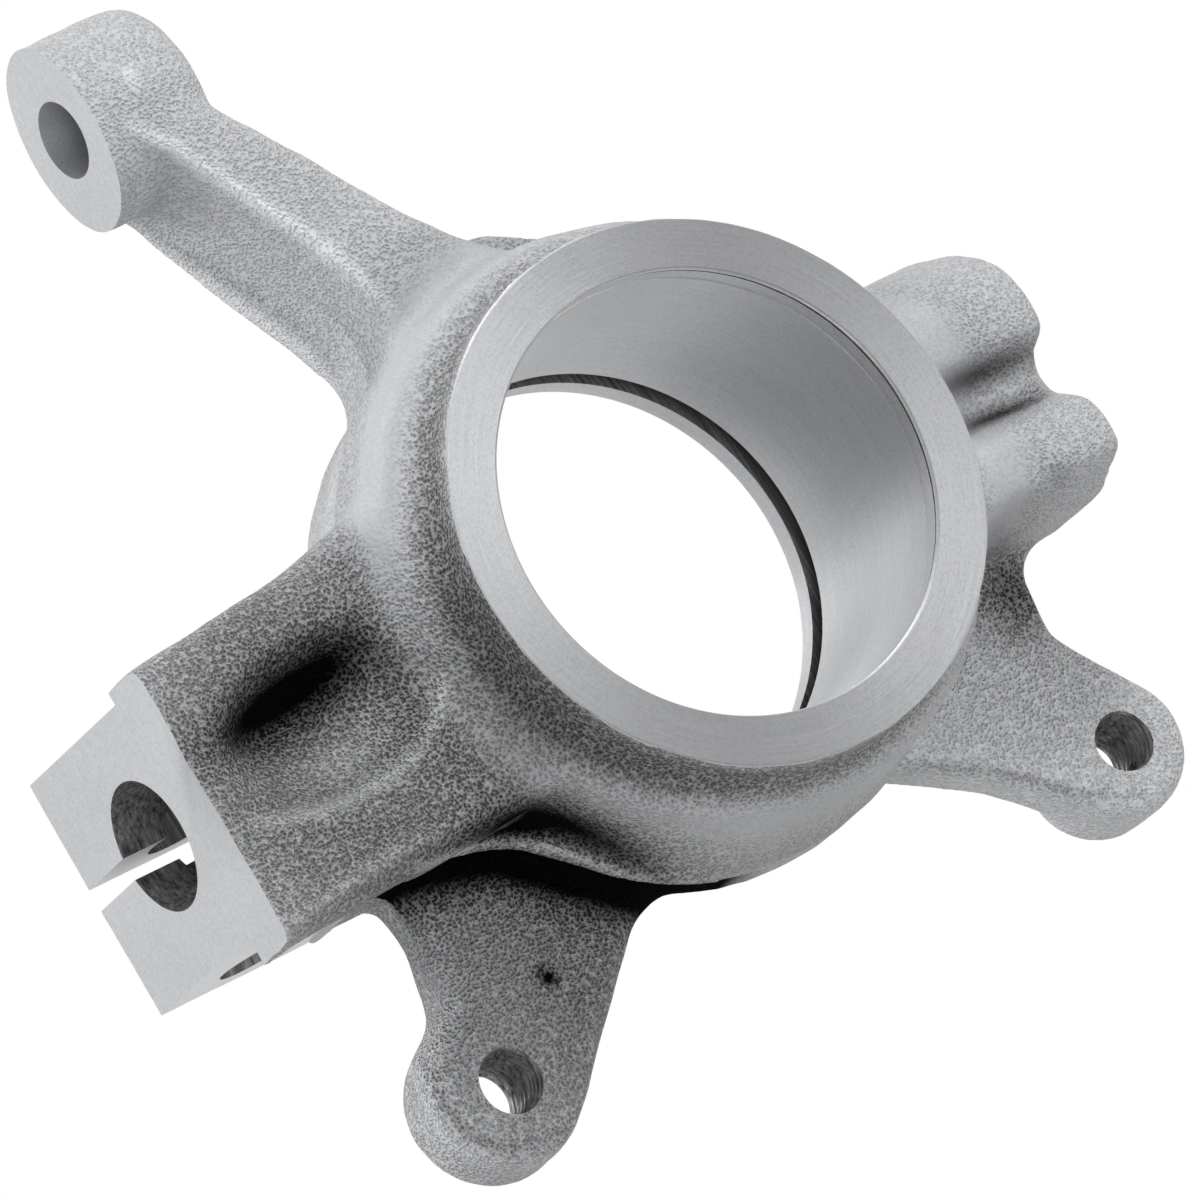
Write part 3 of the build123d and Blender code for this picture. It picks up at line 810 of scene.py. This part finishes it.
# %% [markdown]
# ## Grain, painted shade and painted highlights, point by point
#
# The sand's grain isn't even.  It is coarse on the lower clamp, the low ear and in the hollow under the ring,
# and finer on the arm, the barrel and the upper clamp; coarse places are also painted darker, as shade.
# Shade is painted into the hollows and under the flash, highlights onto the crests, and the turned sheen onto
# the ring face.  Painting that by hand would need an unwrapping; three numbers for each point do the same
# from its place alone.  They are kept on the mesh as attributes, which the finishes read.

# %% Weigh the grain
GRAIN_EVERYWHERE = 0.28
GRAIN_LEAST = 0.08

# Each spot has the amount it adds, its centre and its reach along X, Y and Z
# Coarse places are also painted darker, as shade, most on the lower clamp and the low ear
GRAIN_AND_SHADE_SPOTS = {
    "lower clamp": (0.90, (8, 12, -74), (50, 60, 50)),
    "low ear": (0.72, (48, 34, -52), (42, 60, 42)),
    "patch by the high ear": (0.50, (29, 36, 57), (11, 12, 13)),
    "high ear": (0.16, (48, 40, 56), (34, 24, 34)),
}


def near_spot(points, centre, reach):
    """One at the centre, fading to nothing at reach, along 1 - 3t^2 + 2t^3."""
    t = np.clip(np.linalg.norm((points - centre) / reach, axis=1), 0, 1)
    return 1 - t * t * (3 - 2 * t)


def hump(value, middle, width):
    """exp(-((value - middle) / width)^2): one at the middle, fading on both sides."""
    return np.exp(-((value - middle) / width) ** 2)


def grain_and_shade_share(points):
    """How coarse the sand's grain is, which the skin also paints darker as shade: spots, more under the
    ring's low side, less on the cheek beside it.
    """
    x, y, z = points.T
    share = np.full(len(points), GRAIN_EVERYWHERE)
    for amount, centre, reach in GRAIN_AND_SHADE_SPOTS.values():
        share += amount * near_spot(points, centre, reach)
    off_axis = np.hypot(x, z)
    low_side = (0.5 + 0.5 * np.cos(np.arctan2(z, x) + math.radians(68))) ** 1.5
    share += 0.9 * low_side * hump(off_axis, 45.0, 2.2) * hump(y, 5, 4)
    share -= 0.40 * hump(off_axis, 52, 4.0) * hump(y, 12, 7)
    return np.clip(share, GRAIN_LEAST, 1)


print(len(GRAIN_AND_SHADE_SPOTS), "coarse spots over a grain of", GRAIN_EVERYWHERE)

# %% Weigh the painted shade
RING_FACE_Y = 0.02
DIM_WAY, BRIGHT_WAY = math.radians(149), math.radians(61)


def under_lip_shade(points):
    """Painted shade below the flash: 1.15 * exp(-(distance / 6.5)^2) from its line, seen along Y."""
    y = points[:, 1]
    apart = np.min(np.linalg.norm(points[:, None, ::2] - flash_path[None, :, ::2], axis=2), axis=1)
    return 1.15 * hump(apart, 0, 6.5) * np.clip(y - 30, 0, 1) * (y < 40)


def hole_shade(points):
    """Painted shade: one on the groove's floor, 0.8 in the score near the mouth of the bore and inside
    the eye's hole.
    """
    x, y, z = points.T
    off_axis = np.hypot(x, z)
    in_groove = (off_axis > GROOVE_RADIUS - 1) & (off_axis < GROOVE_RADIUS + 0.5)
    in_groove &= (y > GROOVE_NEAR - 1) & (y < GROOVE_FAR + 1)
    in_score = (off_axis > SCORE_RADIUS - 0.2) & (off_axis < SCORE_RADIUS + 0.3) & (y > 0.1) & (y < 2)
    in_eye = (np.hypot(x - EYE[0], y - EYE[1]) < EYE_PLUG) & (z > EYE[2] + 2)
    return in_groove + 0.8 * in_score + 0.8 * in_eye


def painted_ring_sheen(points):
    """Painted sheen on the ring face, grey where the lathe's rings turn away: 0.42 * cos^2 of the angle from
    one way, and 0.07 * (1 + cos) of the angle from another."""
    way = np.arctan2(points[:, 2], points[:, 0])
    return 0.08 + 0.42 * np.cos(way - DIM_WAY) ** 2 + 0.07 * (1 + np.cos(way - BRIGHT_WAY))


def painted_shade_share(points, normals):
    """How much painted shade each point gets: below the lip, on the collar, in strokes and in holes."""
    x, y, z = points.T
    total = under_lip_shade(points)
    # Painted shade on the collar round the ring
    total += 0.32 * hump(np.hypot(x, z), 54, 9) * (y < 30)
    for stroke in STROKES.values():
        total += stroke.shade * stroke_share(points, normals, stroke)
    total += hole_shade(points)
    # On the ring face the painted sheen takes the place of the shade
    return np.where(y < RING_FACE_Y, painted_ring_sheen(points), np.clip(total, 0, 1))


print("soot lies in", sum(stroke.shade > 0 for stroke in STROKES.values()), "of the strokes")

# %% Weigh the painted highlights, and keep all three on the mesh
# Painted highlights on the ears' near faces
HIGHLIGHT_SPOTS = {
    "low ear": (0.95, (46, 42, -62), (36, 20, 32)),
    "high ear": (0.90, (56, 42, 50), (40, 24, 40)),
}


def painted_highlight_share(points, normals):
    """How much painted highlight each point gets: along the strokes and on the ears' near faces."""
    total = np.zeros(len(points))
    for stroke in STROKES.values():
        total += stroke.painted_highlight * stroke_share(points, normals, stroke)
    for amount, centre, reach in HIGHLIGHT_SPOTS.values():
        total += amount * near_spot(points, centre, reach)
    return np.clip(total, 0, 1)


places = read_points(casting.data) / MM
normals = point_normals(casting.data)
shares = {
    "grain": grain_and_shade_share(places),
    "painted_shade": painted_shade_share(places, normals),
    "painted_highlight": painted_highlight_share(places, normals),
}
for label, share in shares.items():
    values = share.astype(np.float32)
    casting.data.attributes.new(label, "FLOAT", "POINT").data.foreach_set("value", values)
    print(label, "from", values.min().round(2), "to", values.max().round(2))

# %% [markdown]
# ## Finishes
#
# Two effects are shared: the sand's grain, which the cast skin shows strongly and a cut shows faintly, and
# the tool's marks, fine lines that follow the way each tool went.  Each is a node group that gives out a
# height and masks, and every finish places it with its own values.

# %% Helpers for node trees
def node(tree, kind, values=None, **settings):
    """Add a node, set its options by name and its inputs by socket name or number."""
    item = tree.nodes.new(kind)
    for key, value in settings.items():
        setattr(item, key, value)
    for key, value in (values or {}).items():
        if isinstance(value, bpy.types.NodeSocket):
            tree.links.new(value, item.inputs[key])
        else:
            item.inputs[key].default_value = value
    return item


def math_node(tree, operation, first, second=0.5, clamp=False):
    """One Math node's output."""
    item = node(tree, "ShaderNodeMath", {0: first, 1: second}, operation=operation, use_clamp=clamp)
    return item.outputs[0]


def weighted_sum(tree, terms):
    """Sum of value * weight over the terms."""
    products = [math_node(tree, "MULTIPLY", value, weight) for value, weight in terms]
    total = products[0]
    for product in products[1:]:
        total = math_node(tree, "ADD", total, product)
    return total


def spread(tree, value, low, high, to_low=0.0, to_high=1.0):
    """Map a value from one range to another, held within it."""
    return node(tree, "ShaderNodeMapRange", {"Value": value, "From Min": low, "From Max": high,
                                             "To Min": to_low, "To Max": to_high}).outputs["Result"]


def kept_share(tree, label):
    """One of the shares kept on the mesh, as a number."""
    return node(tree, "ShaderNodeAttribute", attribute_name=label).outputs["Fac"]


def node_group(name, inputs, outputs):
    """An empty node group with named number sockets; gives the group and its two end nodes."""
    group = bpy.data.node_groups.new(name, "ShaderNodeTree")
    for label, value in inputs:
        socket = group.interface.new_socket(label, in_out="INPUT", socket_type="NodeSocketFloat")
        socket.default_value = value
    for label in outputs:
        group.interface.new_socket(label, in_out="OUTPUT", socket_type="NodeSocketFloat")
    return group, node(group, "NodeGroupInput"), node(group, "NodeGroupOutput")


print("node helpers ready")

# %% [markdown]
# ### The sand's grain
#
# Close up, cast iron shows small dents where grains of sand sat, with metal standing between them.  Plain
# noise looks like clouds and cells alone look like leather, so bent cells make the dents and two noises
# roughen them.  One mix of the three gives the height, the pits at its low end and the bright tops at its
# high end.

# %% The sand's grain
CELLS_PER_METRE = 1800.0
GRIT_PER_METRE = 2400.0
SWAY_PER_METRE = 700.0
BENDS_PER_METRE, BEND = 500.0, 0.0009
PATCHES_PER_METRE = 42.0


def sand_grain_group():
    """Dents from smooth cells, grit and sway from noise, broad patches; height in metres, masks 0 to 1."""
    group, given, result = node_group(
        "sand_grain", [("Share", 1.0), ("Depth", 0.0002)], ["Height", "Pits", "Tops", "Patches"])
    place = node(group, "ShaderNodeTexCoord").outputs["Object"]
    bend = node(group, "ShaderNodeTexNoise", {"Vector": place, "Scale": BENDS_PER_METRE, "Detail": 1.0})
    bent = node(group, "ShaderNodeVectorMath", {0: bend.outputs["Color"], 1: (BEND, BEND, BEND)},
                operation="MULTIPLY").outputs[0]
    bent = node(group, "ShaderNodeVectorMath", {0: bent, 1: place}, operation="ADD").outputs[0]
    cells = node(group, "ShaderNodeTexVoronoi", {"Vector": bent, "Scale": CELLS_PER_METRE, "Smoothness": 0.5},
                 feature="SMOOTH_F1")
    dents = spread(group, cells.outputs["Distance"], 0.1, 0.7)
    grit = node(group, "ShaderNodeTexNoise",
                {"Vector": place, "Scale": GRIT_PER_METRE, "Detail": 2.0, "Roughness": 0.6})
    sway = node(group, "ShaderNodeTexNoise",
                {"Vector": place, "Scale": SWAY_PER_METRE, "Detail": 2.0, "Roughness": 0.5})
    mixed = weighted_sum(group, [(dents, 0.6), (grit.outputs["Fac"], 0.6), (sway.outputs["Fac"], 0.3)])
    share = given.outputs["Share"]
    scaled = math_node(group, "MULTIPLY", mixed, math_node(group, "POWER", share, 1.6))
    group.links.new(math_node(group, "MULTIPLY", scaled, given.outputs["Depth"]), result.inputs["Height"])
    pits = spread(group, mixed, 0.54, 0.90, 1.0, 0.0)
    group.links.new(math_node(group, "MULTIPLY", pits, share), result.inputs["Pits"])
    tops = spread(group, mixed, 0.90, 1.06)
    group.links.new(math_node(group, "MULTIPLY", tops, share), result.inputs["Tops"])
    broad = node(group, "ShaderNodeTexNoise",
                 {"Vector": place, "Scale": PATCHES_PER_METRE, "Detail": 4.0, "Roughness": 0.6})
    group.links.new(broad.outputs["Fac"], result.inputs["Patches"])
    return group


sand_grain = sand_grain_group()
print("sand grain group:", len(sand_grain.nodes), "nodes")

# %% [markdown]
# ### The tools' marks
#
# A lathe leaves fine rings on a face and a drill leaves rings down its hole: both are lines on which the
# distance from the axis and the height along it stay the same.  So noise is read at (radius, height), with a
# trace of the angle that breaks the lines up a little.

# %% The tools' marks
TURN_TRACE = 0.0004


def tool_marks_group():
    """Fine lines where radius and height from a spin axis stay the same; the axis runs along Y."""
    group, given, result = node_group(
        "tool_marks", [("Axis X", 0.0), ("Axis Z", 0.0), ("Lines per metre", 5000.0), ("Depth", 0.00001)],
        ["Height", "Sheen"])
    place = node(group, "ShaderNodeTexCoord").outputs["Object"]
    parts = node(group, "ShaderNodeSeparateXYZ", {0: place}).outputs
    off_x = math_node(group, "SUBTRACT", parts["X"], given.outputs["Axis X"])
    off_z = math_node(group, "SUBTRACT", parts["Z"], given.outputs["Axis Z"])
    square = weighted_sum(group, [(off_x, off_x), (off_z, off_z)])
    radius = math_node(group, "SQRT", square, 0.0)
    turn = math_node(group, "MULTIPLY", math_node(group, "ARCTAN2", off_z, off_x), TURN_TRACE)
    path = node(group, "ShaderNodeCombineXYZ", {0: radius, 1: parts["Y"], 2: turn}).outputs[0]
    lines = node(group, "ShaderNodeTexNoise", {"Vector": path, "Scale": given.outputs["Lines per metre"],
                                               "Detail": 2.0, "Roughness": 0.7}).outputs["Fac"]
    group.links.new(math_node(group, "MULTIPLY", lines, given.outputs["Depth"]), result.inputs["Height"])
    group.links.new(lines, result.inputs["Sheen"])
    return group


tool_marks = tool_marks_group()
print("tool marks group:", len(tool_marks.nodes), "nodes")

# %% [markdown]
# ### The cast skin and the cuts
#
# The skin is dull grey iron.  Coarse places are painted darker as shade, the tops and the crests carry
# painted highlights, the pits are painted nearly black as shade, and painted shade lies over all of it,
# flecked at its edges.  Cut metal is the same iron with its skin off: brighter, half metallic so that it
# mirrors the room a little, and lined by the tool.

# %% Greys that both kinds of finish mix
def blend_colour(tree, share, first, second):
    """Mix two greys, each given as one number or a colour socket, by a share; a plain grey leans to blue."""
    mix = node(tree, "ShaderNodeMix", {"Factor": share}, data_type="RGBA")
    for slot_number, value in ((6, first), (7, second)):
        if isinstance(value, bpy.types.NodeSocket):
            tree.links.new(value, mix.inputs[slot_number])
        else:
            mix.inputs[slot_number].default_value = (value * 0.985, value, value * 1.025, 1)
    return mix.outputs[2]


def finish_of(material, colour, rough, height, metallic):
    """Set the shader of a finish from colour, roughness and height sockets and a metallic number."""
    tree = material.node_tree
    shader = tree.nodes["Principled BSDF"]
    shader.inputs["Metallic"].default_value = metallic
    tree.links.new(colour, shader.inputs["Base Color"])
    tree.links.new(rough, shader.inputs["Roughness"])
    bump = node(tree, "ShaderNodeBump", {"Height": height, "Distance": 1.0, "Strength": 1.0})
    tree.links.new(bump.outputs["Normal"], shader.inputs["Normal"])


# %% The cast skin
SKIN_DULL, SKIN_FAIR = 0.42, 0.46
# Greys for painted shade and painted highlights: coarse places, tops of the dents, crests, pits and shade
COARSE_SHADE_GREY = 0.32
TOP_HIGHLIGHT_GREY = 0.62
HIGHLIGHT_GREY = 0.72
PIT_SHADE_BLACK = 0.02
SHADE_BLACK = 0.006
SKIN_DEPTH = 0.0038


def cast_finish():
    """Dull grey skin: painted shade in the pits and coarse places, painted highlights on the tops and crests,
    soft patches, and painted shade flecked at its edges.
    """
    tree = cast_skin.node_tree
    share, painted_shade, painted_highlight = (kept_share(tree, label) for label in ("grain", "painted_shade", "painted_highlight"))
    sand = node(tree, "ShaderNodeGroup", {"Share": share, "Depth": SKIN_DEPTH}, node_tree=sand_grain).outputs
    colour = blend_colour(tree, spread(tree, sand["Patches"], 0.35, 0.65), SKIN_DULL, SKIN_FAIR)
    # Coarse places painted darker: painted shade
    colour = blend_colour(tree, spread(tree, share, 0.3, 0.95), colour, COARSE_SHADE_GREY)
    # Tops of the dents painted lighter: painted highlights
    colour = blend_colour(tree, math_node(tree, "MULTIPLY", sand["Tops"], 0.6), colour, TOP_HIGHLIGHT_GREY)
    # Crests and ear faces painted lighter: painted highlights
    colour = blend_colour(tree, painted_highlight, colour, HIGHLIGHT_GREY)
    left_dark = math_node(tree, "SUBTRACT", 0.78, math_node(tree, "MULTIPLY", painted_highlight, 0.5), clamp=True)
    # Pits painted nearly black: painted shade in the dents, less where a highlight is painted
    colour = blend_colour(tree, math_node(tree, "MULTIPLY", sand["Pits"], left_dark), colour, PIT_SHADE_BLACK)
    # Painted shade from the strokes, the holes, the collar and under the flash, flecked at its edges
    edge = math_node(tree, "MULTIPLY", painted_shade, math_node(tree, "SUBTRACT", 1.0, painted_shade))
    flecks = spread(tree, sand["Pits"], 0.0, 0.7, -0.7, 1.2)
    blackened = math_node(tree, "ADD", painted_shade, math_node(tree, "MULTIPLY", edge, flecks), clamp=True)
    colour = blend_colour(tree, blackened, colour, SHADE_BLACK)
    rough = spread(tree, sand["Patches"], 0.3, 0.7, 0.52, 0.66)
    rough = math_node(tree, "ADD", rough, math_node(tree, "MULTIPLY", blackened, 0.35))
    finish_of(cast_skin, colour, rough, sand["Height"], metallic=0.1)
    # Less shine under the painted shade, so that it stays black
    shine = math_node(tree, "SUBTRACT", 0.5, math_node(tree, "MULTIPLY", painted_shade, 0.5), clamp=True)
    tree.links.new(shine, tree.nodes["Principled BSDF"].inputs["Specular IOR Level"])


cast_finish()
print("cast skin:", len(cast_skin.node_tree.nodes), "nodes")

# %% The cuts
UNDER_CUT_SHARE = 0.6
UNDER_CUT_DEPTH = 0.00004
DIMMED_GREY = 0.03


def cut_finish(material, light, dark, lines, depth, metallic, axis=(0.0, 0.0)):
    """Bright cut metal: tool lines in colour and height over a trace of the grain, dimmed by painted shade
    and, on the ring face, by its painted sheen.
    """
    tree = material.node_tree
    marks = node(tree, "ShaderNodeGroup", {"Axis X": axis[0], "Axis Z": axis[1], "Lines per metre": lines,
                                           "Depth": depth}, node_tree=tool_marks).outputs
    sand = node(tree, "ShaderNodeGroup", {"Share": UNDER_CUT_SHARE, "Depth": UNDER_CUT_DEPTH},
                node_tree=sand_grain).outputs
    colour = blend_colour(tree, spread(tree, marks["Sheen"], 0.3, 0.7), dark, light)
    # Pits a little darker: painted shade in the dents
    colour = blend_colour(tree, math_node(tree, "MULTIPLY", sand["Pits"], 0.4), colour, dark * 0.6)
    # Painted shade in the groove and the score, and the ring face's painted sheen
    colour = blend_colour(tree, kept_share(tree, "painted_shade"), colour, DIMMED_GREY)
    rough = spread(tree, sand["Patches"], 0.3, 0.7, 0.40, 0.46)
    height = math_node(tree, "ADD", marks["Height"], sand["Height"])
    finish_of(material, colour, rough, height, metallic)


cut_finish(turned_metal, light=0.57, dark=0.47, lines=5200.0, depth=0.00005, metallic=0.5)
cut_finish(milled_metal, light=0.65, dark=0.59, lines=1700.0, depth=0.00001, metallic=0.55,
           axis=(-0.05, -0.3))
# Dark grey 0.05: painted shade inside the holes, the groove and the score
cut_finish(drilled_metal_in_shade, light=0.40, dark=0.05, lines=1300.0, depth=0.00008, metallic=0.5,
           axis=(0.0067, -0.2))
print("finishes done:", [finish.name for finish in FINISHES])

# %% [markdown]
# ## Camera
#
# The part is shown as a catalogue shows it, from far off with a long lens, so that circles stay true ovals.
# The camera looks straight at the board that the strokes were drawn on.

# %% Place the camera
FAR = 4.0
LENS_PER_METRE = 198.0
CENTRE_RIGHT, CENTRE_UP = -0.01875, -0.0165


def standing(first, second, third, place):
    """A four by four matrix whose columns are three directions and a place, as Blender's objects take it."""
    return np.vstack([np.column_stack([first, second, third, place]), [0, 0, 0, 1]]).T.tolist()


def camera_matrix():
    """Where the camera stands and how it is turned: columns are its right, up and backward directions."""
    toward = TOWARD / np.linalg.norm(TOWARD)
    right = np.cross(UP, toward)
    right /= np.linalg.norm(right)
    up = np.cross(toward, right)
    return standing(right, up, toward, CENTRE_RIGHT * right + CENTRE_UP * up + FAR * toward)


lens_data = bpy.data.cameras.new("camera")
lens_data.sensor_width = 36
lens_data.lens = LENS_PER_METRE * FAR
lens_data.clip_end = 100
camera = bpy.data.objects.new("camera", lens_data)
camera.matrix_world = camera_matrix()
bpy.context.scene.collection.objects.link(camera)
bpy.context.scene.camera = camera
print("camera", FAR, "m away with a", lens_data.lens, "mm lens")

# %% [markdown]
# ## White room and soft lamps
#
# The picture has a white background that the metal mirrors, but a room that is white all round would wash the
# casting out.  So the world is white only to rays that look at it, pass through or mirror it, and gives a
# weak plain light to the rest.  Square lamps do the real work, mostly from above and from the left.

# %% Floor and world
AMBIENT = 0.3
WHITE = (1, 1, 1, 1)

floor = mesh_object("floor", [(-20, -20, -5), (20, -20, -5), (20, 20, -5), (-20, 20, -5)], [(0, 1, 2, 3)])
world = bpy.data.worlds.new("world")
bpy.context.scene.world = world
world.use_nodes = True
room = world.node_tree
plain_light = room.nodes["Background"]
plain_light.inputs["Color"].default_value = WHITE
plain_light.inputs["Strength"].default_value = AMBIENT
white_sweep = node(room, "ShaderNodeBackground", {"Color": WHITE})
ray = node(room, "ShaderNodeLightPath").outputs
seen = math_node(room, "MAXIMUM", ray["Is Camera Ray"], ray["Is Transmission Ray"])
seen_or_mirrored = math_node(room, "MAXIMUM", seen, ray["Is Glossy Ray"])
choice = node(room, "ShaderNodeMixShader",
              {0: seen_or_mirrored, 1: plain_light.outputs[0], 2: white_sweep.outputs[0]})
room.links.new(choice.outputs[0], room.nodes["World Output"].inputs["Surface"])
print("white room, plain light", AMBIENT)

# %% Lamps
LAMP_DISTANCE = 1.3
LAMP_SIZE = 0.5

# Each lamp has its way, as right, up and toward the camera, and its watts
LAMPS = {
    "key": ((-0.1, 1.0, 0.25), 15),
    "left": ((-1.0, 0.0, 0.25), 8),
    "low left": ((-0.8, -0.5, 0.35), 5),
    "front": ((0.1, -0.1, 0.9), 6),
    "rim left": ((-1.0, 0.2, -0.35), 5),
    "right": ((1.0, 0.2, 0.3), 5),
    "bottom": ((0.0, -1.0, 0.25), 2),
}


def lamp(name, direction, watts):
    """A square soft lamp that shines at the part from a direction."""
    data = bpy.data.lights.new(name, "AREA")
    data.shape = "SQUARE"
    data.size = LAMP_SIZE
    data.energy = watts
    way = direction[0] * RIGHT + direction[1] * UP + direction[2] * TOWARD
    way /= np.linalg.norm(way)
    side = np.cross((0.3, 0.5, 0.8), way)
    side /= np.linalg.norm(side)
    item = bpy.data.objects.new(name, data)
    item.matrix_world = standing(side, np.cross(way, side), way, LAMP_DISTANCE * way)
    bpy.context.scene.collection.objects.link(item)


for name, (direction, watts) in LAMPS.items():
    lamp(name, direction, watts)
bpy.context.scene.view_settings.view_transform = "Standard"
print(len(LAMPS), "lamps:", ", ".join(LAMPS))
